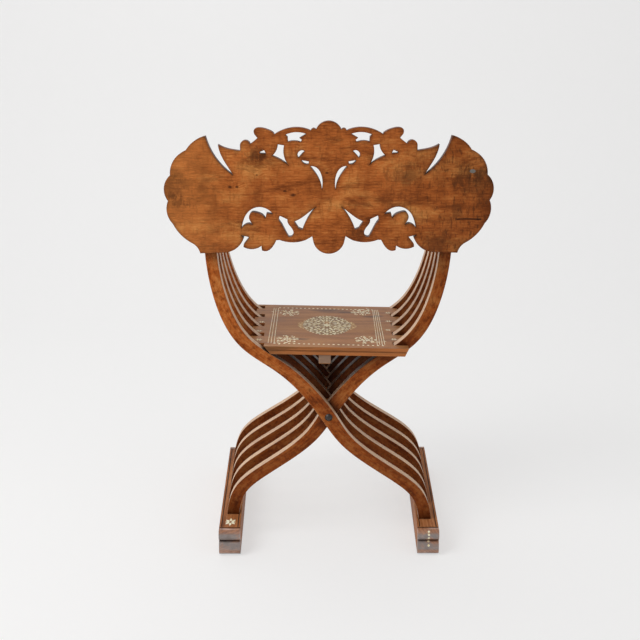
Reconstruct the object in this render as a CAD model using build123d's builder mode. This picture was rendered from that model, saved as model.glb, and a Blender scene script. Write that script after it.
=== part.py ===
from build123d import *
from math import asin, cos, degrees, radians, sin, tan
import os

# A folding armchair of the savonarola kind, in millimetres. +X is to the right as seen from behind
# the backrest, +Y points to the sitter's front, and the floor is Z = 0 under the middle of the rails.
# Frame A leans from upper left to lower right, frame B is its mirror image, and both turn on one rod.

# ---- slats -------------------------------------------------------------------------------------
slats_per_frame = 5
slat_pitch = 78.0            # from one slat of a frame to the next one
slat_thick = 22.0
pair_gap = 4.0               # between an A slat and the B slat in front of it
slat_edge_round = 1.0
pivot_height = 292.0
splay_step = 0.6             # degrees that each slat opens wider than the one behind it
# Centreline of an A slat from arm to rail: x, height over the pivot, width. It is drawn for the four
# sizes below it, and stretched to the real ones.
spine = [
    (-239.0, 400.0, 24.0),
    (-237.5, 353.0, 24.0),
    (-220.5, 256.0, 25.0),
    (-171.5, 163.0, 25.5),
    (-101.0, 111.0, 25.5),
    (-38.5, 51.5, 28.0),
    (0.0, 0.0, 30.0),
    (32.5, -47.5, 27.5),
    (72.0, -84.5, 25.5),
    (150.0, -139.5, 25.0),
    (194.0, -182.5, 26.0),
    (208.0, -234.0, 26.5),
    (209.0, -262.0, 26.5),
]
drawn_arm_span, drawn_rise = -spine[0][0], 372.0
drawn_rail_span, drawn_drop = spine[-1][0], 234.0

# ---- rails, arms and their joints with the slats -------------------------------------------------
rail_half_span = 209.0       # from the middle of the chair to the foot of the rearmost slat
rail_outset = 4.0            # of a rail's middle past the feet of its slats
rail_width = 45.0
rail_height = 58.0
rail_overhang = 58.0         # past the outer faces of the slats
nose_upper_radius = 12.0
nose_lower_radius = 17.0
nose_turn = 160.0            # degrees of each roll of a nose
nose_step_back = 16.0        # from the tip to the small step on top
nose_step_depth = 3.0
rail_edge_chamfer = 1.5
rail_line_inset = 5.0        # incised line along each top edge of a rail
rail_line_width = 1.2
rail_line_depth = 1.0
arm_half_span = 239.0
arm_underside = 664.0
arm_thick = 34.0
arm_width = 50.0
arm_overhang_rear = 9.5
arm_overhang_front = 48.0
arm_knuckle_radius = 22.0
arm_edge_chamfer = 3.0
tenon_side = 14.0
tenon_long = 20.0
tenon_gap = 0.1
peg_radius = 3.0
peg_proud = 0.5
peg_past_tenon = 4.0

# ---- rods ----------------------------------------------------------------------------------------
pin_gap = 0.05               # radial clearance of every rod, peg and screw in its bore
pivot_rod_radius = 6.0
pivot_head_radius = 8.0
pivot_head_height = 4.5
pivot_washer_radius = 13.0
pivot_washer_thick = 2.0
pivot_nut_across = 19.0
pivot_nut_thick = 10.0
pivot_rod_end = 3.0          # thread past the nut
spacer_radius = 15.0
spacer_gap = 0.1
hinge_rod_radius = 2.5
hinge_drop = 5.35            # from the seat's top to the hinge rod's axis
rest_rod_radius = 4.0
rest_gap = 0.3
blind_wall = 7.0             # wood left in front of a rod's hidden end
blind_gap = 0.3

# ---- seat ----------------------------------------------------------------------------------------
seat_height = 446.2          # top of the seat over the pivot
seat_tilt = 1.3              # degrees, the right side is the lower one
seat_thick = 17.0
finger_past_hinge = 6.5
finger_past_rest = 30.0
seat_end_bevel = 8.0         # undercut of the right ends
seat_front_setback = 12.0    # from the front slat's outer face to the seat's front edge
seat_joint_from_rear = 128.0
seat_joint_gap = 0.3
seat_side_gap = 1.5          # between a finger and a slat
notch_from_hinge_top = 25.5  # depth of the rearmost notches, on top and underneath
notch_from_hinge_bottom = 39.5
notch_from_rest_top = 1.0
notch_from_rest_bottom = 23.5
notch_step = 3.4             # further out for each slat, as the slats open wider
seat_groove_depth = 1.5
seat_groove_width = 2.5
batten_left = -20.0
batten_right = 5.0
batten_thick = 20.0
batten_end_setback = 2.0
batten_edge_chamfer = 2.0
batten_screw_count = 5
screw_radius = 2.0
screw_head_radius = 4.0
screw_head_height = 2.5
screw_bite = 10.0
screw_slot_width = 0.8

# ---- backrest ------------------------------------------------------------------------------------
board_thick = 20.0
board_gap = 0.4              # between the board and the rear ends of the arms
key_reach = 10.0
key_neck = 12.0
key_head = 18.0
key_gap = 0.3
key_stop = 6.0               # wood under the dovetail slot
block_width = 14.0
key_screw_radius = 1.75
key_screw_head_radius = 3.5
key_screw_head_height = 2.0
key_screw_bite = 12.0
key_screw_inset = 7.0        # from the top and the bottom of a key

board_half_width = 322.0
board_height = 259.0
board_drop = 15.0            # how far the board hangs below the undersides of the arms
# Right half of the board, from the top of the middle lobe outwards and round to the bottom of the
# middle lobe: x and height over the board's lowest point, drawn for the two sizes below and stretched
# to the real ones. After its start, a run of one point is a line, of two an arc, of more a spline.
drawn_half_width, drawn_height = 322.0, 259.0
board_edge = [
    [(0.0, 259.0)],
    [(15.5, 254.0), (24.5, 243.0)],
    [(29.5, 245.5), (34.5, 241.0)],
    [(65.5, 247.0), (93.0, 240.5), (105.5, 233.5)],
    [(131.0, 246.5), (143.0, 244.0), (143.5, 234.5)],
    [(137.5, 227.0)],
    [(145.0, 220.5), (152.0, 215.5)],
    [(163.5, 222.5), (171.5, 212.0)],
    [(171.5, 202.5)],
    [(188.0, 205.0), (209.0, 211.5), (214.0, 214.5)],
    [(207.5, 192.0), (191.0, 164.0), (185.5, 155.0)],
    [(210.0, 176.5), (226.5, 200.0), (238.5, 231.0)],
    [(259.5, 222.0), (277.0, 203.5)],
    [(300.5, 185.5), (309.0, 156.0)],
    [(322.0, 130.5), (315.0, 106.0)],
    [(318.0, 83.5), (307.0, 60.5)],
    [(291.5, 38.0), (270.5, 22.0)],
    [(259.5, 12.0), (255.0, 1.5)],
    [(204.0, 3.0)],
    [(181.0, 13.0), (168.0, 32.0)],
    [(174.0, 38.0)],
    [(157.0, 33.5)],
    [(168.5, 19.0)],
    [(169.0, 14.0)],
    [(153.0, 9.5), (133.5, 16.0)],
    [(132.5, 7.0)],
    [(119.5, 7.0), (111.5, 14.0), (103.5, 27.5)],
    [(97.5, 28.0)],
    [(70.0, 23.0), (46.0, 27.5)],
    [(33.0, 35.0)],
    [(31.0, 26.0)],
    [(22.4, 9.3), (0.0, 0.0)],
]
board_piercings = {
    "leaf": [
        [(172.5, 51.0)],
        [(167.5, 69.0), (155.5, 86.5), (136.0, 93.5), (116.5, 86.5), (109.5, 79.0)],
        [(122.5, 81.0)],
        [(125.0, 70.0)],
        [(132.0, 78.5), (142.0, 82.5), (151.5, 83.0), (157.0, 74.0), (154.5, 65.5), (149.0, 58.0)],
        [(158.0, 60.5)],
        [(166.5, 57.5), (172.5, 51.0)],
    ],
    "stem_slot": [
        [(96.0, 76.0)],
        [(81.5, 69.0)],
        [(79.5, 60.0), (71.5, 49.0), (70.0, 40.0)],
        [(73.5, 34.5), (79.5, 34.0)],
        [(86.5, 47.0), (91.0, 56.0), (98.0, 66.0)],
        [(98.0, 71.5), (96.0, 76.0)],
    ],
    "low_blade": [
        [(24.0, 94.5)],
        [(40.0, 73.5), (52.0, 48.0)],
        [(59.5, 51.0)],
        [(68.5, 64.5)],
        [(53.5, 72.0), (32.0, 88.5), (24.0, 94.5)],
    ],
    "crescent": [
        [(13.5, 126.5)],
        [(12.5, 146.0), (22.0, 168.5), (36.5, 173.0)],
        [(29.5, 164.5), (18.0, 146.0), (13.5, 126.5)],
    ],
    "drop": [
        [(53.5, 184.5)],
        [(38.5, 182.0)],
        [(39.5, 176.5)],
        [(47.0, 177.5), (53.5, 184.5)],
    ],
    "hook": [
        [(46.5, 201.5)],
        [(55.5, 202.5), (60.5, 196.0), (58.5, 189.0)],
        [(54.0, 194.5), (46.5, 201.5)],
    ],
    "bud": [
        [(99.0, 215.0)],
        [(86.5, 213.0)],
        [(86.5, 191.0), (77.0, 173.5)],
        [(92.5, 185.0), (110.0, 193.0)],
        [(102.0, 202.0), (99.0, 215.0)],
    ],
    "arch": [
        [(84.0, 233.0)],
        [(62.0, 238.0), (43.0, 234.5)],
        [(56.5, 227.0)],
        [(51.5, 223.0)],
        [(54.5, 219.0)],
        [(66.0, 221.5), (79.0, 219.5)],
        [(79.5, 229.0)],
        [(84.0, 233.0)],
    ],
    "speck": [
        [(135.0, 199.5)],
        [(125.0, 204.0)],
        [(121.5, 197.0)],
        [(133.0, 197.5)],
        [(135.0, 199.5)],
    ],
}

# ---- worked out ----------------------------------------------------------------------------------
HAND_A = 1
HAND_B = -1
frame_name = {HAND_A: "a", HAND_B: "b"}
frame_shift = slat_thick + pair_gap
pack_depth = (slats_per_frame - 1) * slat_pitch + frame_shift + slat_thick
rear_face = -pack_depth / 2
front_face = pack_depth / 2
first_slat_y = rear_face + slat_thick / 2
rise_to_arm = arm_underside - pivot_height
drop_to_rail = pivot_height - rail_height
rail_reach = front_face + rail_overhang
arm_rear = rear_face - arm_overhang_rear
arm_front = front_face + arm_overhang_front
arm_top = arm_underside + arm_thick
tilt = radians(seat_tilt)
slat_x_tolerance = 1e-9      # of the centreline's length
seat_front = front_face - seat_front_setback
board_front = arm_rear - board_gap
seat_plane = Plane(
    origin=(0, 0, seat_height), x_dir=(cos(tilt), 0, -sin(tilt)), z_dir=(sin(tilt), 0, cos(tilt))
)
hanging = (Align.CENTER, Align.CENTER, Align.MAX)
standing = (Align.CENTER, Align.CENTER, Align.MIN)


def open_angle(y):
    """Degrees that the slats at a depth open wider than the rearmost one."""
    return splay_step * (y - first_slat_y) / slat_pitch


def slat_centre(hand, k):
    return first_slat_y + k * slat_pitch + (0 if hand == HAND_A else frame_shift)


def rail_x(hand, y):
    return hand * (rail_half_span + drop_to_rail * tan(radians(open_angle(y))))


def rail_middle(hand, y):
    return rail_x(hand, y) + hand * rail_outset


def arm_x(hand, y):
    return -hand * (arm_half_span + rise_to_arm * tan(radians(open_angle(y))))


def facing(direction, origin):
    return Plane(origin=origin, z_dir=direction)


def across_at(y):
    """The XZ plane at a depth, whose extrusions run to the rear."""
    return Plane.XZ.offset(-y)


def rail_peg_plane(hand, y):
    outer = rail_middle(hand, y) + hand * rail_width / 2
    return facing((hand, 0, 0), (outer, y, rail_height - tenon_long / 2))


def arm_peg_plane(hand, y):
    outer = arm_x(hand, y) - hand * arm_width / 2
    return facing((-hand, 0, 0), (outer, y, arm_underside + tenon_long / 2))


rail_peg_depth = rail_width / 2 + rail_outset + tenon_side / 2 + peg_past_tenon
arm_peg_depth = arm_width / 2 + tenon_side / 2 + peg_past_tenon


def on_board(point):
    """A drawn point of the board at its real place in the XZ plane."""
    x, height = point
    return (
        x * board_half_width / drawn_half_width,
        arm_underside - board_drop + height * board_height / drawn_height,
    )


def draw_outline(runs):
    """Edges from the first run's point: a run of one point is a line, of two an arc, of more a spline."""
    placed = [[on_board(point) for point in run] for run in runs]
    here = placed[0][0]
    for points in placed[1:]:
        if len(points) == 1:
            Line(here, points[0])
        elif len(points) == 2:
            ThreePointArc(here, *points)
        else:
            Spline(here, *points)
        here = points[-1]


# ---- the slats -----------------------------------------------------------------------------------
def stretched(station):
    """A station of the spine for the real spans, rise and drop."""
    x, z, width = station
    if z >= 0:
        return x * arm_half_span / drawn_arm_span, z * rise_to_arm / drawn_rise, width
    return x * rail_half_span / drawn_rail_span, z * drop_to_rail / drawn_drop, width


stations = [stretched(station) for station in spine]
centreline = Spline(*[(x, z) for x, z, width in stations])


def slat_x(hand, k, height):
    """Where the centreline of a slat passes a height over the floor."""
    lean = open_angle(slat_centre(hand, k))
    upper, lower = 0.0, 1.0
    while lower - upper > slat_x_tolerance:
        middle = (upper + lower) / 2
        point = (centreline @ middle).rotate(Axis.Z, lean)
        if point.Y + pivot_height > height:
            upper = middle
        else:
            lower = middle
    return hand * point.X


hinge_guess = slat_x(HAND_A, 0, seat_height)
hinge_z = seat_height - hinge_guess * tan(tilt) - hinge_drop
hinge_x = slat_x(HAND_A, 0, hinge_z)
middle_slat = slats_per_frame // 2
rest_guess = slat_x(HAND_B, middle_slat, seat_height - seat_thick)
rest_z = seat_height - rest_guess * tan(tilt) - seat_thick / cos(tilt) - rest_gap - rest_rod_radius
rest_x = slat_x(HAND_B, middle_slat, rest_z)
seat_left = hinge_x - finger_past_hinge
seat_right = rest_x + finger_past_rest


def slat_edge(hand, side):
    """Points half a width to one side of the centreline."""
    points = []
    for i, (x, z, width) in enumerate(stations):
        before, after = stations[max(i - 1, 0)], stations[min(i + 1, len(stations) - 1)]
        along = Vector(after[0] - before[0], after[1] - before[1]).normalized()
        offset = side * width / 2
        points.append((hand * (x - along.Y * offset), z + along.X * offset))
    return points


def make_slat(hand, k):
    y = slat_centre(hand, k)
    near, far = y - slat_thick / 2, y + slat_thick / 2
    lean = radians(open_angle(y))
    profile_plane = Plane(
        origin=(0, far, pivot_height), x_dir=(cos(lean), 0, hand * sin(lean)), z_dir=(0, -1, 0)
    )
    with BuildPart() as slat:
        with BuildSketch(profile_plane):
            with BuildLine():
                left = Spline(*slat_edge(hand, -1))
                right = Spline(*slat_edge(hand, 1))
                Line(left @ 0, right @ 0)
                Line(left @ 1, right @ 1)
            make_face()
        extrude(amount=slat_thick)
        fillet(slat.edges().filter_by(GeomType.BSPLINE), radius=slat_edge_round)
        split(bisect_by=Plane.XY.offset(rail_height), keep=Keep.TOP)
        split(bisect_by=Plane.XY.offset(arm_underside), keep=Keep.BOTTOM)
        with Locations((rail_x(hand, y), y, rail_height)):
            Box(tenon_side, tenon_side, tenon_long, align=hanging)
        with Locations((arm_x(hand, y), y, arm_underside)):
            Box(tenon_side, tenon_side, tenon_long, align=standing)
        with Locations(rail_peg_plane(hand, y)):
            Hole(peg_radius + pin_gap, depth=rail_peg_depth)
        with Locations(arm_peg_plane(hand, y)):
            Hole(peg_radius + pin_gap, depth=arm_peg_depth)
        with Locations(facing((0, -1, 0), (0, near, pivot_height))):
            Hole(pivot_rod_radius + pin_gap, depth=slat_thick)
        rod_depth = slat_thick - (blind_wall - blind_gap if k == 0 else 0)
        rod_place, rod_radius = {
            HAND_A: ((hinge_x, far, hinge_z), hinge_rod_radius),
            HAND_B: ((rest_x, far, rest_z), rest_rod_radius),
        }[hand]
        with Locations(facing((0, 1, 0), rod_place)):
            Hole(rod_radius + pin_gap, depth=rod_depth)
    return slat


# ---- the rails and the arms ----------------------------------------------------------------------
def draw_bar(centre_x, hand, rear, front, width):
    """Plan of a bar that follows the toe-out of a frame."""
    half = width / 2
    Polyline(
        (centre_x(hand, rear) - half, rear),
        (centre_x(hand, rear) + half, rear),
        (centre_x(hand, front) + half, front),
        (centre_x(hand, front) - half, front),
        close=True,
    )


def draw_nosed_profile():
    """Front half of a rail from the side, with one nose of a small roll over a large one."""
    low = CenterArc((rail_reach - nose_lower_radius, nose_lower_radius), nose_lower_radius, -90, nose_turn)
    high_centre = (rail_reach - nose_upper_radius, rail_height - nose_upper_radius)
    high = CenterArc(high_centre, nose_upper_radius, 90, -nose_turn)
    step = rail_reach - nose_step_back
    Line(low @ 1, high @ 1)
    Polyline(
        high @ 0,
        (step, rail_height),
        (step - nose_step_depth, rail_height - nose_step_depth),
        (step - 2 * nose_step_depth, rail_height),
        (0, rail_height),
        (0, 0),
        low @ 0,
    )


def make_rail(hand):
    with BuildPart() as rail:
        with BuildSketch():
            with BuildLine():
                draw_bar(rail_middle, hand, -rail_reach, rail_reach, rail_width)
            make_face()
        extrude(amount=rail_height)
        with BuildSketch(Plane.YZ):
            with BuildLine():
                draw_nosed_profile()
            make_face()
            mirror(about=Plane.YZ)
        extrude(amount=2 * rail_half_span, both=True, mode=Mode.INTERSECT)
        top_edges = rail.faces().sort_by(Axis.Z)[-1].edges().sort_by(SortBy.LENGTH)[-2:]
        chamfer(top_edges, length=rail_edge_chamfer)
        with BuildSketch(Plane.XY.offset(rail_height)):
            for side in (-1, 1):
                with BuildLine():
                    offset_x = side * (rail_width / 2 - rail_line_inset)
                    draw_bar(
                        lambda hand, y: rail_middle(hand, y) + offset_x, hand,
                        -rail_reach + nose_step_back + 2 * nose_step_depth,
                        rail_reach - nose_step_back - 2 * nose_step_depth, rail_line_width,
                    )
                make_face()
        extrude(amount=-rail_line_depth, mode=Mode.SUBTRACT)
        for k in range(slats_per_frame):
            y = slat_centre(hand, k)
            with Locations((rail_x(hand, y), y, rail_height)):
                Box(
                    tenon_side + 2 * tenon_gap, tenon_side + 2 * tenon_gap, tenon_long + tenon_gap,
                    align=hanging, mode=Mode.SUBTRACT,
                )
            with Locations(rail_peg_plane(hand, y)):
                Hole(peg_radius + pin_gap, depth=rail_peg_depth)
    return rail


def make_arm(hand):
    with BuildPart() as arm:
        with BuildSketch(Plane.XY.offset(arm_underside - arm_knuckle_radius)):
            with BuildLine():
                draw_bar(arm_x, hand, arm_rear, arm_front, arm_width)
            make_face()
        extrude(amount=arm_thick + arm_knuckle_radius)
        knuckle_y = arm_front - arm_knuckle_radius
        with BuildSketch(Plane.YZ):
            with Locations(((arm_rear + knuckle_y) / 2, (arm_underside + arm_top) / 2)):
                Rectangle(knuckle_y - arm_rear, arm_thick)
            with Locations((knuckle_y, arm_top - arm_knuckle_radius)):
                Circle(arm_knuckle_radius)
        extrude(amount=2 * arm_half_span, both=True, mode=Mode.INTERSECT)
        top_edges = arm.faces().sort_by(Axis.Z)[-1].edges().sort_by(SortBy.LENGTH)[-2:]
        chamfer(top_edges, length=arm_edge_chamfer)
        for k in range(slats_per_frame):
            y = slat_centre(hand, k)
            with Locations((arm_x(hand, y), y, arm_underside)):
                Box(
                    tenon_side + 2 * tenon_gap, tenon_side + 2 * tenon_gap, tenon_long + tenon_gap,
                    align=standing, mode=Mode.SUBTRACT,
                )
            with Locations(arm_peg_plane(hand, y)):
                Hole(peg_radius + pin_gap, depth=arm_peg_depth)
        slot_floor = arm_underside + key_stop
        if hand == HAND_A:
            with BuildSketch(Plane.XY.offset(slot_floor)):
                with BuildLine():
                    draw_dovetail(key_gap)
                make_face()
        else:
            with BuildSketch(Plane.XY.offset(arm_underside)):
                with Locations((block_inner_x - key_gap, arm_rear)):
                    Rectangle(
                        block_width + arm_width, key_reach + key_gap - board_gap,
                        align=(Align.MIN, Align.MIN),
                    )
        extrude(amount=arm_thick, mode=Mode.SUBTRACT)
    return arm


# ---- keys that hold the board on the arms --------------------------------------------------------
key_tip = board_front + key_reach
key_bottom = arm_underside + key_stop + key_gap
key_x = arm_x(HAND_A, arm_rear)
block_outer_x = arm_x(HAND_B, arm_rear) + arm_width / 2
block_inner_x = block_outer_x - block_width
block_x = (block_inner_x + block_outer_x) / 2


def draw_dovetail(gap):
    """Plan of the left key, wider away from the board, or of its slot when a gap is given."""
    Polyline(
        (key_x - key_neck / 2 - gap, board_front),
        (key_x + key_neck / 2 + gap, board_front),
        (key_x + key_head / 2 + gap, key_tip + gap),
        (key_x - key_head / 2 - gap, key_tip + gap),
        close=True,
    )


def key_screw_planes(x):
    heights = (key_bottom + key_screw_inset, arm_top - key_screw_inset)
    return [facing((0, 1, 0), (x, key_tip, z)) for z in heights]


with BuildPart() as back_key_left:
    with BuildSketch(Plane.XY.offset(key_bottom)):
        with BuildLine():
            draw_dovetail(0)
        make_face()
    extrude(amount=arm_top - key_bottom)
    with Locations(*key_screw_planes(key_x)):
        CounterBoreHole(
            key_screw_radius + pin_gap, key_screw_head_radius + pin_gap, key_screw_head_height, key_reach
        )

with BuildPart() as back_key_right:
    with BuildSketch(Plane.XY.offset(key_bottom)):
        with Locations((block_x, (board_front + key_tip) / 2)):
            Rectangle(block_width, key_reach)
    extrude(amount=arm_top - key_bottom)
    with Locations(*key_screw_planes(block_x)):
        CounterBoreHole(
            key_screw_radius + pin_gap, key_screw_head_radius + pin_gap, key_screw_head_height, key_reach
        )

with BuildPart() as back_key_screws:
    with Locations(*key_screw_planes(key_x), *key_screw_planes(block_x)):
        Cylinder(key_screw_radius, key_reach + key_screw_bite, align=hanging)
        Cylinder(key_screw_head_radius, key_screw_head_height, align=hanging)
        Box(
            2 * key_screw_head_radius, screw_slot_width, screw_slot_width,
            align=hanging, mode=Mode.SUBTRACT,
        )

with BuildPart() as back_board:
    with BuildSketch(across_at(board_front)):
        with BuildLine():
            draw_outline(board_edge)
            Line(on_board(board_edge[-1][-1]), on_board(board_edge[0][0]))
        make_face()
        for piercing in board_piercings.values():
            with BuildLine():
                draw_outline(piercing)
            make_face(mode=Mode.SUBTRACT)
        mirror(about=Plane.YZ)
    extrude(amount=board_thick)
    with Locations(*key_screw_planes(key_x), *key_screw_planes(block_x)):
        Hole(key_screw_radius + pin_gap, depth=key_reach + key_screw_bite)

# ---- rods, rings and pegs ------------------------------------------------------------------------
axle_plane = Plane(origin=(0, 0, pivot_height), x_dir=(0, 1, 0), z_dir=(1, 0, 0))
washer_rear = front_face + spacer_gap
nut_rear = washer_rear + pivot_washer_thick

with BuildPart() as pivot_rod:
    dome_radius = (pivot_head_radius**2 + pivot_head_height**2) / (2 * pivot_head_height)
    rod_end = nut_rear + pivot_nut_thick + pivot_rod_end
    with BuildSketch(axle_plane):
        with BuildLine():
            dome = CenterArc(
                (rear_face - pivot_head_height + dome_radius, 0), dome_radius,
                180, -degrees(asin(pivot_head_radius / dome_radius)),
            )
            Polyline(
                dome @ 1,
                (rear_face, pivot_rod_radius),
                (rod_end, pivot_rod_radius),
                (rod_end, 0),
                dome @ 0,
            )
        make_face()
    revolve(axis=Axis((0, 0, pivot_height), (0, 1, 0)))

with BuildPart() as pivot_washer:
    with BuildSketch(Plane(origin=(0, washer_rear, pivot_height), z_dir=(0, 1, 0))):
        Circle(pivot_washer_radius)
        Circle(pivot_rod_radius + pin_gap, mode=Mode.SUBTRACT)
    extrude(amount=pivot_washer_thick)

with BuildPart() as pivot_nut:
    with BuildSketch(Plane(origin=(0, nut_rear, pivot_height), z_dir=(0, 1, 0))):
        RegularPolygon(pivot_nut_across / 2, 6, major_radius=False)
        Circle(pivot_rod_radius + pin_gap, mode=Mode.SUBTRACT)
    extrude(amount=pivot_nut_thick)

slat_centres = sorted(slat_centre(hand, k) for hand in (HAND_A, HAND_B) for k in range(slats_per_frame))

with BuildPart() as spacer_rings:
    for here, following in zip(slat_centres, slat_centres[1:]):
        ring_rear = here + slat_thick / 2 + spacer_gap
        with BuildSketch(Plane(origin=(0, ring_rear, pivot_height), z_dir=(0, 1, 0))):
            Circle(spacer_radius)
            Circle(pivot_rod_radius + pin_gap, mode=Mode.SUBTRACT)
        extrude(amount=following - here - slat_thick - 2 * spacer_gap)

with BuildPart() as seat_hinge_rod:
    with Locations(facing((0, 1, 0), (hinge_x, seat_front, hinge_z))):
        Cylinder(hinge_rod_radius, seat_front - rear_face - blind_wall, align=hanging)

with BuildPart() as seat_rest_rod:
    with Locations(facing((0, 1, 0), (rest_x, front_face, rest_z))):
        rear_b_face = slat_centre(HAND_B, 0) - slat_thick / 2
        Cylinder(rest_rod_radius, front_face - rear_b_face - blind_wall, align=hanging)


def make_pegs(hand):
    with BuildPart() as pegs:
        for k in range(slats_per_frame):
            y = slat_centre(hand, k)
            with Locations(rail_peg_plane(hand, y).offset(peg_proud)):
                Cylinder(peg_radius, rail_peg_depth + peg_proud - blind_gap, align=hanging)
            with Locations(arm_peg_plane(hand, y).offset(peg_proud)):
                Cylinder(peg_radius, arm_peg_depth + peg_proud - blind_gap, align=hanging)
    return pegs


# ---- the seat ------------------------------------------------------------------------------------
def slab_point(x, below_top):
    """A point of the tilted slab in the XZ plane, at an x and a depth under its top."""
    return Vector(x, seat_height - x * tan(tilt) - below_top)


def draw_notch(outside_x, top_x, bottom_x):
    """Section of a notch whose inner wall slopes from one x on top to another underneath."""
    top, bottom = slab_point(top_x, 0), slab_point(bottom_x, seat_thick)
    overshoot = (top - bottom) / 2
    high, low = top + overshoot, bottom - overshoot
    Polyline((outside_x, high.Y), (high.X, high.Y), (low.X, low.Y), (outside_x, low.Y), close=True)


screw_pitch = (seat_front - rear_face) / batten_screw_count
batten_x = (batten_left + batten_right) / 2
batten_screw_planes = [
    Plane(
        origin=seat_plane.from_local_coords(
            (batten_x, rear_face + (i + 0.5) * screw_pitch, -seat_thick - batten_thick)
        ),
        z_dir=-seat_plane.z_dir,
    )
    for i in range(batten_screw_count)
]


def make_plank(rear, front, grooved_edge):
    with BuildPart() as plank:
        with BuildSketch(seat_plane):
            with Locations(((seat_left + seat_right) / 2, (rear + front) / 2)):
                Rectangle(seat_right - seat_left, front - rear)
        extrude(amount=-seat_thick)
        with BuildSketch(seat_plane.offset(-(seat_thick + seat_groove_width) / 2)):
            with Locations(((seat_left + seat_right) / 2, grooved_edge)):
                Rectangle(seat_right - seat_left, 2 * seat_groove_depth)
        extrude(amount=seat_groove_width, mode=Mode.SUBTRACT)
        with BuildSketch(across_at(front)):
            with BuildLine():
                draw_notch(seat_right + seat_end_bevel, seat_right, seat_right - seat_end_bevel)
            make_face()
        extrude(amount=front - rear, mode=Mode.SUBTRACT)
        cut_width = slat_thick + 2 * seat_side_gap
        for k in range(slats_per_frame):
            spread = k * notch_step
            with BuildSketch(across_at(slat_centre(HAND_A, k) + cut_width / 2)):
                with BuildLine():
                    draw_notch(
                        seat_left - seat_thick,
                        hinge_x + notch_from_hinge_top - spread,
                        hinge_x + notch_from_hinge_bottom - spread,
                    )
                make_face()
            extrude(amount=cut_width, mode=Mode.SUBTRACT)
            with BuildSketch(across_at(slat_centre(HAND_B, k) + cut_width / 2)):
                with BuildLine():
                    draw_notch(
                        seat_right + seat_thick,
                        rest_x - notch_from_rest_top + spread,
                        rest_x - notch_from_rest_bottom + spread,
                    )
                make_face()
            extrude(amount=cut_width, mode=Mode.SUBTRACT)
        with Locations(facing((0, 1, 0), (hinge_x, front, hinge_z))):
            Hole(hinge_rod_radius + pin_gap, depth=front - rear)
        with Locations(*batten_screw_planes):
            Hole(screw_radius + pin_gap, depth=batten_thick + screw_bite)
    return plank


seat_joint = rear_face + seat_joint_from_rear

with BuildPart() as seat_batten:
    with BuildSketch(seat_plane.offset(-seat_thick)):
        with Locations((batten_x, (rear_face + seat_front) / 2)):
            Rectangle(batten_right - batten_left, seat_front - rear_face - 2 * batten_end_setback)
    extrude(amount=-batten_thick)
    underside = seat_batten.faces().sort_by(Axis.Z)[0]
    chamfer(underside.edges(), length=batten_edge_chamfer)
    with Locations(*batten_screw_planes):
        CounterBoreHole(
            screw_radius + pin_gap, screw_head_radius + pin_gap, screw_head_height, batten_thick
        )

with BuildPart() as batten_screws:
    with Locations(*batten_screw_planes):
        Cylinder(screw_radius, batten_thick + screw_bite - blind_gap, align=hanging)
        Cylinder(screw_head_radius, screw_head_height, align=hanging)
        Box(2 * screw_head_radius, screw_slot_width, screw_slot_width, align=hanging, mode=Mode.SUBTRACT)

# ---- every node ----------------------------------------------------------------------------------
nodes = {
    "rail_right": make_rail(HAND_A),
    "rail_left": make_rail(HAND_B),
    "arm_left": make_arm(HAND_A),
    "arm_right": make_arm(HAND_B),
    "tenon_pegs_a": make_pegs(HAND_A),
    "tenon_pegs_b": make_pegs(HAND_B),
    "pivot_rod": pivot_rod,
    "pivot_washer": pivot_washer,
    "pivot_nut": pivot_nut,
    "spacer_rings": spacer_rings,
    "seat_hinge_rod": seat_hinge_rod,
    "seat_rest_rod": seat_rest_rod,
    "seat_plank_rear": make_plank(rear_face, seat_joint - seat_joint_gap / 2, rear_face),
    "seat_plank_front": make_plank(seat_joint + seat_joint_gap / 2, seat_front, seat_front),
    "seat_batten": seat_batten,
    "batten_screws": batten_screws,
    "back_board": back_board,
    "back_key_left": back_key_left,
    "back_key_right": back_key_right,
    "back_key_screws": back_key_screws,
}
for hand in (HAND_A, HAND_B):
    for k in range(slats_per_frame):
        nodes[f"slat_{frame_name[hand]}{k + 1}"] = make_slat(hand, k)

os.makedirs("parts", exist_ok=True)
for name, node in nodes.items():
    node.part.label = name
    export_step(node.part, f"parts/{name}.step")
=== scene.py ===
import random
from math import atan2, cos, hypot, pi, radians, sin, tau

import bmesh
import bpy
from bpy.props import FloatProperty, FloatVectorProperty, IntProperty, PointerProperty
from bpy.types import Operator, Panel, PropertyGroup
from mathutils import Matrix, Vector
from mathutils.bvhtree import BVHTree


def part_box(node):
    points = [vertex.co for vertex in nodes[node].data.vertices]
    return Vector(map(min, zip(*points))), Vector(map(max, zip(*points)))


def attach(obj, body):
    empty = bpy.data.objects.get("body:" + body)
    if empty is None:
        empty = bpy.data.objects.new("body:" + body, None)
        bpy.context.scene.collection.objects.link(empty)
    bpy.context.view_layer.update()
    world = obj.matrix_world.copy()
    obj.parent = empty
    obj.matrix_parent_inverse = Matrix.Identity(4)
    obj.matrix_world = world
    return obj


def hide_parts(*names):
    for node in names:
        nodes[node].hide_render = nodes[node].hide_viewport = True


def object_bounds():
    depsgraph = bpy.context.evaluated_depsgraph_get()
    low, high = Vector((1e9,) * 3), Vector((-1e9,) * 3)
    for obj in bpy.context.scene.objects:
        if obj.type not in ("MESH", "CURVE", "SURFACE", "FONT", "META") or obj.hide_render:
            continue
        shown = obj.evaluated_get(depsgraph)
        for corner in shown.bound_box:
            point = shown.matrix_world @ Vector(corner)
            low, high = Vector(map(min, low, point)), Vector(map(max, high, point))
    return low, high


bl_info = {
    "name": "Folding Armchair",
    "version": (1, 0, 0),
    "blender": (4, 5, 0),
    "location": "3D View > Sidebar > Armchair",
    "description": "Timber, bone inlay and metalwork for a folding armchair of interleaved slats",
    "category": "Object",
}

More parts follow.
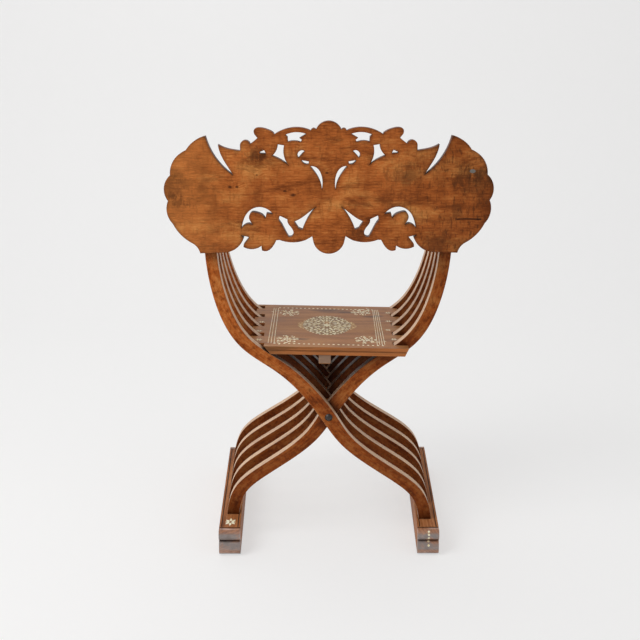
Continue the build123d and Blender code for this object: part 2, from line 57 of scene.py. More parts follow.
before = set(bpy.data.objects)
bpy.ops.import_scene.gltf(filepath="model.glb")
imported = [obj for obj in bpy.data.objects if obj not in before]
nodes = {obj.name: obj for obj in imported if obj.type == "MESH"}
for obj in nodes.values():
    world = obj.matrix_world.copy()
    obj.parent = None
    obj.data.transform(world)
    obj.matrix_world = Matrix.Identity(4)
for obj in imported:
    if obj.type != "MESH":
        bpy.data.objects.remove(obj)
cad_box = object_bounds()

mm = 0.001
FRAME_A_SLATS = sorted(name for name in nodes if name.startswith("slat_a"))
FRAME_B_SLATS = sorted(name for name in nodes if name.startswith("slat_b"))
PLANKS = ["seat_plank_rear", "seat_plank_front"]


# ---- settings ----
def linear(channel):
    """Light value of a colour channel that is written from 0 to 255."""
    share = channel / 255
    return share / 12.92 if share <= 0.04045 else ((share + 0.055) / 1.055) ** 2.4


def colour(name, description, red, green, blue):
    return FloatVectorProperty(
        name=name, description=description, subtype="COLOR", size=3, min=0, max=1,
        default=(linear(red), linear(green), linear(blue)),
    )


def length(name, description, millimetres):
    return FloatProperty(
        name=name, description=description, default=millimetres * mm, min=0, unit="LENGTH"
    )


def power(name, description, watts):
    return FloatProperty(
        name=name, description=description, default=watts, min=0, unit="POWER"
    )


def share(name, description, value):
    return FloatProperty(
        name=name, description=description, default=value, min=0, max=1, subtype="FACTOR"
    )


class SlatSettings(PropertyGroup):
    dark: colour("Dark grain", "Late wood and old stain in the slats", 88, 36, 8)
    middle: colour("Timber", "Main colour of the slats", 188, 96, 36)
    pale: colour("Light grain", "Early wood in the slats", 216, 142, 76)
    # Partly real wear, partly a painted highlight where the narrow sides catch light from above
    rubbed: colour("Rubbed edges", "Narrow sides of the slats, worn by folding", 228, 194, 162)
    # Also painted shade: between the slats, under the seat and in the corners
    grime_and_shade: colour("Grime", "Dirt in the corners between the slats", 40, 15, 5)
    ring_width: length("Growth rings", "Spacing of the growth rings", 5.5)
    sheen: share("Roughness", "Roughness of the oiled slats", 0.42)


class RailSettings(PropertyGroup):
    dark: colour("Dark grain", "Late wood in the foot rails", 84, 44, 20)
    middle: colour("Timber", "Main colour of the foot rails", 172, 108, 64)
    pale: colour("Light grain", "Early wood in the foot rails", 206, 148, 100)
    scuffed: colour("Scuffed", "Bare grey wood on the noses", 140, 134, 132)
    # Also painted shade at the step, along the bottom and in the corners
    grime_and_shade: colour("Grime", "Dirt in the incised lines", 24, 16, 12)
    scuff_reach: length("Scuffed reach", "How far the scuffs run back from a nose", 34)
    nose_polish: share("Nose polish", "Roughness of the rubbed noses", 0.28)
    sheen: share("Roughness", "Roughness of the rails", 0.5)


class ArmSettings(PropertyGroup):
    dark: colour("Dark grain", "Late wood in the arms", 66, 32, 16)
    middle: colour("Timber", "Main colour of the arms", 128, 70, 36)
    pale: colour("Light grain", "Early wood in the arms", 170, 104, 60)
    # Only painted shade: the corners of the arms and of the back keys
    grime_and_shade: colour("Grime", "Dirt in the corners of the arms", 26, 15, 10)
    sheen: share("Roughness", "Roughness of the arms, polished by hands", 0.34)


class SeatSettings(PropertyGroup):
    dark: colour("Dark grain", "Late wood in the seat", 112, 72, 44)
    middle: colour("Timber", "Main colour of the seat", 172, 116, 70)
    pale: colour("Light grain", "Early wood in the seat", 196, 146, 98)
    edge: colour("Edge timber", "Colour of the sawn edges of the seat", 186, 112, 62)
    end_grain: colour("Batten end", "Grey end grain of the batten", 141, 119, 104)
    stain: colour("Stains", "Old dark stains on the seat", 58, 42, 38)
    # Also painted shade in the groove and corners of the seat
    grime_and_shade: colour("Grime", "Dirt in the groove of the seat", 34, 22, 16)
    sheen: share("Roughness", "Roughness of the waxed seat", 0.4)


class InlaySettings(PropertyGroup):
    bone: colour("Bone", "Colour of the inlay", 255, 252, 226)
    aged: colour("Aged bone", "Colour of the oldest inlay", 244, 224, 172)
    proud: length("Height", "How far the inlay stands out of the wood", 0.25)
    dot_radius: length("Dots", "Radius of a border dot", 2.5)
    dot_spacing: length("Dot spacing", "From one border dot to the next", 10.1)
    stripe_width: length("Stripes", "Width of a stripe beside the picture field", 1.1)
    rosette_half_width: length("Rosette half width", "From the hub to the side of the rosette", 53)
    rosette_half_depth: length("Rosette half depth", "From the hub to the front of the rosette", 79)
    rosette_points: IntProperty(
        name="Rosette points", description="Petals in each ring of the rosette", default=16, min=6
    )
    petal_length: length("Petals", "Length of a petal in the corner sprigs", 10.5)
    petal_width: length("Petal width", "Width of a petal in the corner sprigs", 4.6)
    ebony: colour("Ground", "Dark wood between the tiles of the rosette", 134, 92, 54)


class BoardSettings(PropertyGroup):
    dark: colour("Dark grain", "Late wood in the back board", 104, 50, 18)
    middle: colour("Timber", "Main colour of the back board", 186, 102, 46)
    pale: colour("Light grain", "Early wood in the back board", 216, 146, 78)
    knot: colour("Knots", "Heart of the knots", 52, 26, 14)
    smudge: colour("Smudges", "Dark old marks on the board", 66, 38, 20)
    # Also darkens the faces along their outline and paints shade into the corners
    grime_and_shade: colour("Grime", "Dirt along the pierced edges", 44, 22, 12)
    plug: colour("Plug", "Grey plug near the right end", 120, 116, 110)
    edge_round: length("Rounded edges", "Radius of the softened outline", 1.2)
    sheen: share("Roughness", "Roughness of the waxed board", 0.4)


class MetalSettings(PropertyGroup):
    steel: colour("Steel", "Colour of the rods and screws", 74, 70, 68)
    rust: colour("Rust", "Brown rust in the pits", 70, 38, 22)
    sheen: share("Roughness", "Roughness of the bright patches", 0.22)


class StageSettings(PropertyGroup):
    paint: colour("Floor and backdrop", "Colour of the plain sweep", 246, 245, 244)
    wash: share("Wash", "How far the sweep shows as plain white", 0.55)
    key_power: power("Key light", "Power of the large light at the upper left", 46)
    fill_power: power("Fill light", "Power of the light at the right", 5)
    front_power: power("Front light", "Power of the light beyond the chair", 10)
    sky: FloatProperty(name="Sky", description="Strength of the even light", default=0.42, min=0)
    lens: FloatProperty(
        name="Lens", description="Focal length of the camera",
        default=56.25, min=1, unit="CAMERA",
    )


# ---- shader maths ----
class Value:
    """A socket of a finish. Arithmetic on it adds Math nodes."""

    def __init__(self, finish, socket):
        self.finish = finish
        self.socket = socket

    def other(self, output):
        return Value(self.finish, self.socket.node.outputs[output])

    def maths(self, operation, first, second=0.0):
        return self.finish.add("ShaderNodeMath", {"operation": operation}, {0: first, 1: second})

    def __add__(self, term):
        return self.maths("ADD", self, term)

    __radd__ = __add__

    def __mul__(self, term):
        return self.maths("MULTIPLY", self, term)

    __rmul__ = __mul__

    def __sub__(self, term):
        return self.maths("SUBTRACT", self, term)

    def __rsub__(self, term):
        return self.maths("SUBTRACT", term, self)

    def __truediv__(self, term):
        return self.maths("DIVIDE", self, term)

    def __pow__(self, term):
        return self.maths("POWER", self, term)

    def __abs__(self):
        return self.maths("ABSOLUTE", self)

    def most(self, term):
        return self.maths("MAXIMUM", self, term)

    def rise(self, low, high):
        """0 up to low, 1 from high, and smooth between them; it falls where low is above high."""
        return self.finish.add(
            "ShaderNodeMapRange", {"interpolation_type": "SMOOTHSTEP"},
            {"Value": self, "From Min": low, "From Max": high},
        )


class Finish:
    """A material that is put together node by node."""

    def __init__(self, name, gloss=0.09):
        self.material = bpy.data.materials.new(name)
        self.material.use_nodes = True
        self.tree = self.material.node_tree
        self.tree.nodes.clear()
        self.shader = self.tree.nodes.new("ShaderNodeBsdfPrincipled")
        self.shader.inputs["Specular IOR Level"].default_value = gloss
        self.shade = None
        self.surface = self.tree.nodes.new("ShaderNodeOutputMaterial")
        self.tree.links.new(self.shader.outputs["BSDF"], self.surface.inputs["Surface"])

    def add(self, kind, settings, sockets, output=0):
        node = self.tree.nodes.new(kind)
        for name, setting in settings.items():
            if name == "stops":
                self.set_stops(node.color_ramp, setting)
            elif name == "curve":
                self.set_curve(node.mapping, setting)
            else:
                setattr(node, name, setting)
        for name, value in sockets.items():
            self.feed(node, name, value)
        return Value(self, node.outputs[output])

    def feed(self, node, name, value):
        if isinstance(value, Value):
            self.tree.links.new(value.socket, node.inputs[name])
        else:
            node.inputs[name].default_value = value

    def set_stops(self, ramp, stops):
        while len(ramp.elements) < len(stops):
            ramp.elements.new(1)
        for element, (position, shade) in zip(ramp.elements, stops):
            element.position = position
            element.color = (*shade, 1)

    def set_curve(self, mapping, points):
        curve = mapping.curves[0]
        for at, height in points[1:-1]:
            curve.points.new(at, height)
        curve.points[0].location = points[0]
        curve.points[-1].location = points[-1]
        mapping.update()

    def coordinates(self, kind):
        return self.add("ShaderNodeTexCoord", {}, {}, kind)

    def spot(self, x, y, z):
        return self.add("ShaderNodeCombineXYZ", {}, {0: x, 1: y, 2: z})

    def noise(self, place, scale, detail=3.0, roughness=0.5, distortion=0.0):
        """Cloudy spots at a place, given as x, y and z: a larger scale makes them smaller."""
        return self.add(
            "ShaderNodeTexNoise", {},
            {
                "Vector": self.spot(*place), "Scale": scale, "Detail": detail,
                "Roughness": roughness, "Distortion": distortion,
            },
        )

    def blend(self, mask, under, over, kind="MIX"):
        """One colour over another where the mask is 1."""
        return self.add(
            "ShaderNodeMix", {"data_type": "RGBA", "blend_type": kind, "clamp_factor": True},
            {0: mask, 6: opaque(under), 7: opaque(over)}, 2,
        )

    def over(self, mask, shade, kind="MIX"):
        """Lays a colour over the finish's own where the mask is 1."""
        self.shade = self.blend(mask, self.shade, shade, kind)

    def facing(self, axis):
        """How far a face looks along an axis of the chair, up to 1."""
        return abs(self.add("ShaderNodeSeparateXYZ", {}, {0: self.coordinates("Normal")}, axis))

    def edges(self, radius):
        """1 on an outer edge and 0 on a flat face, and the softened normal."""
        soft = self.add("ShaderNodeBevel", {"samples": 6}, {"Radius": radius})
        hard = self.add("ShaderNodeNewGeometry", {}, {}, "Normal")
        alike = self.add(
            "ShaderNodeVectorMath", {"operation": "DOT_PRODUCT"}, {0: soft, 1: hard}, "Value"
        )
        return (1 - alike).rise(0.02, 0.2), soft

    def openness(self, reach, inside):
        settings = {"samples": 6, "inside": inside}
        return self.add("ShaderNodeAmbientOcclusion", settings, {"Distance": reach}, "AO")

    def hollows(self, reach, lit=0.75, unlit=0.2):
        """1 in a corner that little light reaches, 0 in the open."""
        return self.openness(reach, False).rise(lit, unlit)

    def rim(self, reach):
        """1 on a flat face beside its outline, 0 further in than the reach."""
        return self.openness(reach, True).rise(1.0, 0.45)

    def complete(self, roughness, height, normal=None, depth=0.4 * mm, strength=0.5):
        """Feeds the shader: the height makes relief of a depth on the softened normal."""
        self.feed(self.shader, "Base Color", self.shade)
        self.feed(self.shader, "Roughness", roughness)
        sockets = {"Height": height, "Strength": strength, "Distance": depth}
        if normal is not None:
            sockets["Normal"] = normal
        self.feed(self.shader, "Normal", self.add("ShaderNodeBump", {}, sockets))
        return self.material


def begin(name):
    """A new finish, with x, y and z of a point of the chair at rest, in metres."""
    finish = Finish(name)
    axes = finish.add("ShaderNodeSeparateXYZ", {}, {0: finish.coordinates("Object")})
    return finish, axes, axes.other("Y"), axes.other("Z")


def opaque(shade):
    return shade if isinstance(shade, Value) else (*shade, 1)


# ---- timber ----
class Grain:
    """The figure of one timber, with fibres along a line."""

    def __init__(
        self, finish, along, across, through, rings=0.16, ring_width=5 * mm, fleck=0.03, patch=13
    ):
        self.finish = finish
        self.rings_share = rings
        ring_spot = finish.spot(along * 0.05, across + 0.11, through + 0.31)
        self.rings = finish.add(
            "ShaderNodeTexWave",
            {"wave_type": "RINGS", "rings_direction": "X", "wave_profile": "SIN"},
            {
                "Vector": ring_spot, "Scale": pi / 10 / ring_width, "Distortion": 7.0,
                "Detail": 3.0, "Detail Scale": 0.35, "Detail Roughness": 0.6,
            }, "Fac",
        )
        self.fibres = finish.noise((along * fleck, across, through), 700, 4, 0.65)
        pores = finish.noise((along * fleck * 1.5, across, through), 1500, 2, 0.5)
        self.pores = pores.rise(0.62, 0.74)
        self.bands = finish.noise((along * fleck * 4, across, through), 42, 4, 0.6)
        self.cloud = finish.noise((along * 0.6, across, through), patch, 5, 0.62)

    def tone(self):
        """0.5 on the whole, lower in late wood and stains, higher in early wood."""
        figure = (self.rings - 0.5) * self.rings_share + (self.fibres - 0.5) * 0.5
        return figure + (self.bands - 0.5) * 0.34 + (self.cloud - 0.5) * 0.62 + 0.5

    def shade(self, look, spread=0.2):
        """Colour of the bare timber, with the pores darkened. A small spread makes it lively."""
        body = self.finish.add(
            "ShaderNodeValToRGB",
            {"stops": [(0.5 - spread, look.dark), (0.5, look.middle), (0.5 + spread, look.pale)]},
            {0: self.tone()},
        )
        return self.finish.blend(self.pores * 0.45, body, look.dark, "MULTIPLY")

    def roughness(self, sheen):
        return sheen + (self.fibres - 0.5) * 0.2 + (self.cloud - 0.5) * 0.22 + self.pores * 0.12

    def complete(self, sheen, soft):
        return self.finish.complete(self.roughness(sheen), self.height(), soft)

    def height(self):
        return self.fibres * 0.5 + self.rings * 0.15 - self.pores * 0.7


def slat_course():
    """Middle line of an A slat: (height, x), each as a share of the slat's own box from 0 to 1."""
    name = FRAME_A_SLATS[len(FRAME_A_SLATS) // 2]
    low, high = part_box(name)
    size = high - low
    stations = 14
    window = size.z / 40
    course = []
    for station in range(stations + 1):
        height = low.z + size.z * station / stations
        near = [v.co.x for v in nodes[name].data.vertices if abs(v.co.z - height) < window]
        if near:
            middle = (min(near) + max(near)) / 2
            course.append(((height - low.z) / size.z, (middle - low.x) / size.x))
    return low, high, course


BETWEEN_SLATS = 110 * mm  # how deep the shade between the slats reaches
# how deep the painted shade under the seat reaches
UNDER_SEAT = 220 * mm
B_SHADE_LOW, B_SHADE_HIGH = 0.32, 0.46  # frame B is painted darker above these heights: painted shade on the side away from the key light


def slat_timber(look, name, mirrored):
    """Oiled timber whose fibres follow the bend of the slats, pale on the narrow sides from wear
    and a painted highlight, with painted shade between the slats, under the seat, in corners and
    toward the feet.
    """
    finish, x, y, z = begin(name)
    low, high, course = slat_course()
    level = (z - low.z) / (high.z - low.z)
    bend = finish.add("ShaderNodeFloatCurve", {"curve": course}, {"Value": level})
    middle_x = bend * (high.x - low.x) + low.x
    across = (0 - x if mirrored else x) - middle_x
    grain = Grain(finish, z * 1.25, across, y, 0.05, look.ring_width, 0.12, 38)
    edge, soft = finish.edges(1.2 * mm)
    finish.shade = grain.shade(look)
    smoke = finish.noise((z * 0.5, across, y), 22, 4, 0.65)
    finish.over(smoke.rise(0.5, 0.7) * 0.5, look.dark)
    mottle = finish.noise((x, y, z), 95, 5, 0.7)
    finish.over(mottle.rise(0.5, 0.64) * 0.55, look.dark)
    finish.over(mottle.rise(0.48, 0.34) * 0.45, look.pale)
    side = 1 - finish.facing("Y").rise(0.3, 0.8)
    worn = edge * finish.noise((x, y, z), 60, 3).rise(0.42, 0.6)
    finish.over(worn * 0.35, look.dark)
    # Painted shade: the slats are darker toward their feet, where less light falls from above.
    lower_painted_shade = z.rise(high.z, low.z)
    finish.over(lower_painted_shade * 0.62, look.dark)
    # Painted shade: frame B's upper part, on the side away from the key light.
    if mirrored:
        finish.over(z.rise(B_SHADE_LOW, B_SHADE_HIGH) * 0.36, look.dark)
    # The pale narrow sides are partly real wear and partly a painted highlight from light above.
    rubbed = side * (0.7 + 0.3 * grain.cloud.rise(0.32, 0.6))
    finish.over(rubbed, look.rubbed)
    # Painted shade: faces between the slats, parts under the seat and small corners are darkened
    # where little light reaches.
    between = finish.hollows(BETWEEN_SLATS, 0.97, 0.45) * (1 - side) * 0.86
    under_seat = finish.hollows(UNDER_SEAT, 0.66, 0.3) * 0.96
    finish.over(between.most(under_seat), look.grime_and_shade)
    finish.over(finish.hollows(20 * mm) * 0.5, look.grime_and_shade)
    return grain.complete(look.sheen, soft)


RAIL_WIDTH = 45 * mm
RAIL_LINE = 17.5 * mm  # from the middle of a rail to an incised line
RAIL_LINE_STOP = 22 * mm  # from a rail's end to the ends of those lines
NOSE_STEP = 19 * mm  # from a rail's end to the small step on top
UPPER_ROLL, LOWER_ROLL = 44 * mm, 24 * mm  # heights of the crowns of a nose's rolls, where the scuffs gather as a painted highlight


def rail_timber(look):
    """Dark rails, scuffed to grey wood at both noses, with a painted highlight on the crowns of the
    noses and painted shade at the step, along the bottom and in the corners.
    """
    finish, x, y, z = begin("rail_timber")
    finish.shader.inputs["Coat Roughness"].default_value = look.nose_polish
    finish.shader.inputs["Coat IOR"].default_value = 2.1
    low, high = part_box("rail_right")
    half_width = RAIL_WIDTH / 2
    toe_out = (high.x - low.x - 2 * half_width) / (high.y - low.y)
    off_middle = abs(abs(x) - ((y - low.y) * toe_out + (low.x + half_width)))
    from_end = high.y - abs(y)
    grain = Grain(finish, y, x, z)
    edge, soft = finish.edges(1.4 * mm)
    finish.shade = grain.shade(look, 0.3)
    patches = finish.noise((x, y * 0.7, z), 46, 5, 0.65)
    scuffs_and_highlight = from_end.rise(look.scuff_reach * 0.75, look.scuff_reach * 0.3)
    scuffs_and_highlight = scuffs_and_highlight * patches.rise(0.3, 0.56)
    # Painted highlight: the grey scuffs, which are real wear, gather on the crowns of the two rolls
    # so the nose reads as rounded.
    upper_roll_highlight = abs(z - UPPER_ROLL).rise(11 * mm, 5 * mm)
    lower_roll_highlight = abs(z - LOWER_ROLL).rise(13 * mm, 6 * mm)
    scuffs_and_highlight = scuffs_and_highlight * (0.25 + 0.75 * upper_roll_highlight.most(lower_roll_highlight))
    finish.over(scuffs_and_highlight * 0.9, look.scuffed)
    rubbed = edge * patches.rise(0.38, 0.6)
    finish.over(rubbed * 0.5, look.scuffed)
    on_top = z.rise(high.z - 5 * mm, high.z - 2 * mm)
    incised = abs(off_middle - RAIL_LINE).rise(1.7 * mm, 0.6 * mm)
    incised = incised * from_end.rise(RAIL_LINE_STOP, RAIL_LINE_STOP + 2 * mm) * on_top
    finish.over(incised * 0.75, look.grime_and_shade)
    # Painted shadow: a dark line across the top at the small step of the nose.
    step = abs(from_end - NOSE_STEP).rise(3.2 * mm, 1.4 * mm) * on_top
    finish.over(step * 0.9, look.grime_and_shade)
    nose = from_end.rise(NOSE_STEP + 2 * mm, NOSE_STEP - 4 * mm)
    finish.feed(finish.shader, "Coat Weight", nose * patches.rise(0.7, 0.35))
    # Painted shade along the bottom of the rail, where it meets the floor.
    floor_contact_shade = z.rise(7 * mm, 0.5 * mm) * 0.7
    finish.over(floor_contact_shade, look.grime_and_shade)
    # Painted shade in the corners of the rail.
    finish.over(finish.hollows(9 * mm) * 0.9, look.grime_and_shade)
    dents = finish.noise((x, y, z), 120, 3, 0.6)
    roughness = grain.roughness(look.sheen) + scuffs_and_highlight * 0.12
    return finish.complete(roughness, grain.height() + dents * 0.9, soft, 0.6 * mm)


def arm_timber(look):
    """Timber that hands have polished, paler on its edges."""
    finish, x, y, z = begin("arm_timber")
    grain = Grain(finish, y, x, z)
    edge, soft = finish.edges(1.4 * mm)
    finish.shade = grain.shade(look)
    finish.over(edge * grain.cloud.rise(0.4, 0.6) * 0.5, look.pale)
    # Painted shade in the corners of the arms.
    finish.over(finish.hollows(12 * mm) * 0.8, look.grime_and_shade)
    return grain.complete(look.sheen, soft)


SEAT_STAINS = (  # middle of a stain on the seat and its radius, in millimetres
    (4, 122.5, 26), (40, 110.5, 16), (98, 72.5, 15), (118, 80.5, 11), (-58, -121.5, 12),
)


def seat_timber(look, name, batten=False):
    """Waxed timber with old stains, and warmer sawn edges."""
    finish, x, y, z = begin(name)
    along, across = (y, x) if batten else (x, y)
    grain = Grain(finish, along, across, z, 0.1, 7 * mm)
    edge, soft = finish.edges(1.2 * mm)
    finish.shade = grain.shade(look, 0.26)
    wobble = finish.noise((x * 0.5, y, z), 60, 4, 0.6)
    stained = None
    for stain_x, stain_y, radius in SEAT_STAINS:
        away = ((x - stain_x * mm) * 0.5) ** 2 + (y - stain_y * mm) ** 2
        mark = (away ** 0.5 + (wobble - 0.5) * 0.03).rise(radius * mm, radius * 0.2 * mm)
        stained = mark if stained is None else stained.most(mark)
    finish.over(stained * 0.6, look.stain)
    sawn = 1 - finish.facing("Z").rise(0.4, 0.8)
    sawn_shade = finish.blend(grain.bands.rise(0.42, 0.66), look.edge, look.dark)
    if batten:
        sawn_shade = finish.blend(finish.facing("Y").rise(0.6, 0.9), sawn_shade, look.end_grain)
    finish.over(sawn * 0.8, sawn_shade)
    worn = edge * wobble.rise(0.35, 0.6)
    finish.over(worn * 0.4, look.pale)
    # Painted shade in the groove and corners of the seat.
    finish.over(finish.hollows(8 * mm) * 0.4, look.grime_and_shade)
    return grain.complete(look.sheen, soft)


BOARD_KNOTS = (  # middle of a knot on the board, x and z, and its radius, in millimetres
    (-192.6, 782, 5), (-179, 782, 4), (-85.5, 774, 4.5),
    (-70, 766, 6), (-3.5, 809, 4), (-139.6, 805, 3),
)
BOARD_SMUDGES = (  # the same for its dark smudges
    (289, 781, 40), (262, 800, 26), (300, 800, 20), (-306, 782, 30),
    (-296, 752, 18), (-140, 845, 12), (-128, 838, 8), (252, 735, 22),
    (150, 800, 26), (60, 690, 18), (214, 672, 24),
)
PLUG = (279.5, 811.6, 5)
SHAKE_LOW_X, SHAKE_HIGH_X, SHAKE_Z = 248 * mm, 303 * mm, 718 * mm  # crack in the right lobe
SHAKE_TAPER = 6 * mm
RIGHT_LOBE_X, LEFT_LOBE_X = 60 * mm, -150 * mm  # where the board begins to darken with painted shade, to pale with painted light
LOBE_WIDE = 190 * mm


def spot_mask(x, z, mark, softness, wobble, scale=1):
    """1 on a knot, smudge or plug of the board, with a ragged edge."""
    centre_x, centre_z, radius = mark[0], mark[1], mark[2] * scale
    away = (((x - centre_x * mm) * 0.8) ** 2 + ((z - centre_z * mm) * 1.2) ** 2) ** 0.5
    return (away + wobble).rise(radius * mm, radius * (1 - softness) * mm)


def board_timber(look):
    """Waxed board with knots, smudges, a plug and a crack, darkened along the piercings, with
    painted shade on the walls of the piercings, in the corners and toward the right end, and
    painted light toward the left end.
    """
    finish, x, y, z = begin("board_timber")
    ragged = finish.noise((x, y, z), 90, 3, 0.6) - 0.5
    torn = finish.noise((x, z * 0.45, y), 60, 6, 0.75) - 0.5
    pull = None
    for knot in BOARD_KNOTS:
        near = spot_mask(x, z, knot, 1.0, 0.0, 4)
        pull = near if pull is None else pull.most(near)
    grain = Grain(finish, x, z + pull * 0.006, y, 0.04, 6 * mm, 0.1, 14)
    soft = finish.edges(1.0 * mm)[1]
    finish.shade = grain.shade(look, 0.19)
    curl = finish.noise((x, z * 0.22, y), 24, 3, 0.55)
    finish.over(curl.rise(0.46, 0.7) * 0.4, look.dark)
    streaks = finish.noise((x * 0.3, z, y), 34, 6, 0.72, 0.5)
    finish.over(streaks.rise(0.5, 0.66) * 0.7, look.dark)
    ripple = finish.noise((x, z * 0.3, y), 170, 4, 0.65)
    finish.over(ripple.rise(0.5, 0.7) * 0.4, look.dark)
    # Painted shade toward the right end and painted light toward the left end, from the key light
    # at the left.
    right_end = (x - RIGHT_LOBE_X + ragged * 0.12).rise(0.0, LOBE_WIDE)
    finish.over(right_end * 0.22, look.dark)
    left_end = (x + ragged * 0.12).rise(LEFT_LOBE_X, 2 * LEFT_LOBE_X)
    finish.over(left_end * 0.22, look.pale)
    scratches = finish.noise((x, z * 0.3, y), 210, 3, 0.6).rise(0.54, 0.66)
    finish.over(right_end * scratches * 0.6, look.smudge)
    mottle = finish.noise((x * 0.5, y, z), 30, 5, 0.7)
    finish.over(right_end * mottle.rise(0.42, 0.66) * 0.5, look.dark)
    for smudge in BOARD_SMUDGES:
        smeared = spot_mask(x, z, smudge, 0.7, torn * 0.12, 1.1)
        finish.over(smeared * 0.42, look.smudge)
    for knot in BOARD_KNOTS:
        finish.over(spot_mask(x, z, knot, 0.75, ragged * 0.004) * 0.8, look.knot)
    plug = spot_mask(x, z, PLUG, 0.2, ragged * 0.0005)
    finish.over(plug, look.plug)
    line = abs(z - SHAKE_Z + (grain.bands - 0.5) * 0.006).rise(1.9 * mm, 0.8 * mm)
    low_end = x.rise(SHAKE_LOW_X, SHAKE_LOW_X + SHAKE_TAPER)
    shake = line * (low_end * x.rise(SHAKE_HIGH_X, SHAKE_HIGH_X - SHAKE_TAPER))
    finish.over(shake, look.grime_and_shade)
    # Painted shade: the walls of the outline and piercings are darkened.
    wall = 1 - finish.facing("Y").rise(0.5, 0.9)
    finish.over(wall * 0.85, look.dark)
    # The faces are darker along their outline.
    rim = finish.rim(8 * mm) * (0.35 + 0.65 * grain.cloud.rise(0.36, 0.6))
    finish.over(rim * 0.75, look.grime_and_shade)
    # Painted shade in the corners of the board.
    finish.over(finish.hollows(10 * mm) * 0.6, look.grime_and_shade)
    height = grain.height() - shake * 2 - plug * 0.5
    return finish.complete(grain.roughness(look.sheen), height, soft)


def turned_timber(look, name, warmth):
    """Small dark pieces: rings, pegs, keys."""
    finish, x, y, z = begin(name)
    grain = Grain(finish, y, x, z, 0.16, 3 * mm)
    edge, soft = finish.edges(0.8 * mm)
    finish.shade = grain.shade(look)
    finish.over(1 - warmth, look.dark)
    finish.over(edge * 0.4, look.pale)
    # Painted shade in the corners of the small pieces.
    finish.over(finish.hollows(6 * mm) * 0.8, look.grime_and_shade)
    return grain.complete(0.5, soft)


def inlay_bone(look):
    """Old bone: warm, a little uneven from piece to piece, with dirt in fine cracks."""
    finish, x, y, z = begin("inlay_bone")
    age = finish.noise((x, y, z), 130, 4, 0.65)
    finish.shade = finish.blend(age.rise(0.4, 0.72), look.bone, look.aged)
    cracks = finish.noise((x * 4, y * 0.6, z), 900, 2, 0.6).rise(0.66, 0.74)
    finish.over(cracks * 0.35, look.aged, "MULTIPLY")
    roughness = 0.34 + age * 0.2
    return finish.complete(roughness, age - cracks * 0.8, None, 0.2 * mm, 0.4)


def ebony(look):
    """Dark wood under the rosette, with the last of its polish."""
    finish, x, y, z = begin("ebony")
    wear = finish.noise((x * 0.3, y, z), 160, 4, 0.65)
    finish.shade = finish.blend(wear.rise(0.4, 0.7) * 0.6, look.ebony, look.aged)
    return finish.complete(0.36 + wear * 0.2, wear, None, 0.2 * mm, 0.3)


def faded_bone(look, ground):
    """The crescents beside the rosette, worn until the wood shows through."""
    finish, x, y, z = begin("faded_bone")
    wear = finish.noise((x, y * 0.5, z), 240, 4, 0.7)
    finish.shade = finish.blend(wear.rise(0.34, 0.6) * 0.8 + 0.2, look.aged, ground)
    return finish.complete(0.42 + wear * 0.2, wear, None, 0.2 * mm, 0.3)


def dark_steel(look):
    """Blackened steel with brown rust in its pits and bright rubbed spots."""
    finish, x, y, z = begin("dark_steel")
    pits = finish.noise((x, y, z), 420, 5, 0.7)
    rubbed = finish.noise((x, y, z), 90, 3, 0.5)
    rusty = pits.rise(0.5, 0.68)
    finish.shade = finish.blend(rusty * 0.8, look.steel, look.rust)
    finish.feed(finish.shader, "Metallic", 0.9 - rusty * 0.7)
    roughness = look.sheen + rusty * 0.3 + rubbed * 0.12
    return finish.complete(roughness, pits * -1)


def sweep_paint(look):
    finish, x, y, z = begin("sweep_paint")
    tooth = finish.noise((x, y, z), 60, 4, 0.6)
    finish.shade = finish.blend(tooth * 0.06, look.paint, (0.6, 0.6, 0.6))
    finish.complete(0.75 + tooth * 0.1, tooth, None, 0.5 * mm, 0.1)
    ray = finish.add("ShaderNodeLightPath", {}, {}, "Is Camera Ray")
    seen = ray.most(ray.other("Is Glossy Ray")).most(ray.other("Is Transmission Ray"))
    glow = finish.add("ShaderNodeEmission", {}, {"Color": (1, 1, 1, 1), "Strength": 1.0})
    paint = Value(finish, finish.shader.outputs["BSDF"])
    mixed = finish.add("ShaderNodeMixShader", {}, {0: seen * look.wash, 1: paint, 2: glow})
    finish.feed(finish.surface, "Surface", mixed)
    return finish.material


def dress(names, material):
    """Puts a material in every slot of some nodes of the frame."""
    for name in names:
        node = nodes[name]
        if not node.material_slots:
            node.data.materials.append(material)
        for slot in node.material_slots:
            slot.material = material


# ---- mesh ----
def linked(name, data):
    """A new object of the scene."""
    thing = bpy.data.objects.new(name, data)
    bpy.context.scene.collection.objects.link(thing)
    return thing


def solid(name, maker, material):
    """A new object from a bmesh, which it uses up."""
    mesh = bpy.data.meshes.new(name)
    maker.to_mesh(mesh)
    maker.free()
    mesh.materials.append(material)
    return linked(name, mesh)


def new_piece(name, maker, material, body):
    """The same, riding on a body of the frame."""
    piece = solid(name, maker, material)
    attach(piece, body)
    return piece


class Ground:
    """A flat or curved face that tiles are let into: it turns plan points into places."""

    def __init__(self, origin, x_axis, y_axis):
        self.origin = Vector(origin)
        self.x_axis = Vector(x_axis).normalized()
        self.y_axis = Vector(y_axis).normalized()
        self.normal = self.x_axis.cross(self.y_axis).normalized()

    def point(self, x, y, height=0.0):
        return self.origin + self.x_axis * x + self.y_axis * y + self.normal * height


SUNK = 0.3 * mm  # how far the walls of the inlay go into the wood
EASED = 0.16 * mm  # how far the top edge of a tile is eased


def oval(x, y, half_width, half_depth, corners=48):
    """Outline of an oval round a plan point."""
    turns = [tau * i / corners for i in range(corners)]
    return [(x + half_width * cos(turn), y + half_depth * sin(turn)) for turn in turns]


def disc(x, y, radius, corners=10):
    return oval(x, y, radius, radius, corners)


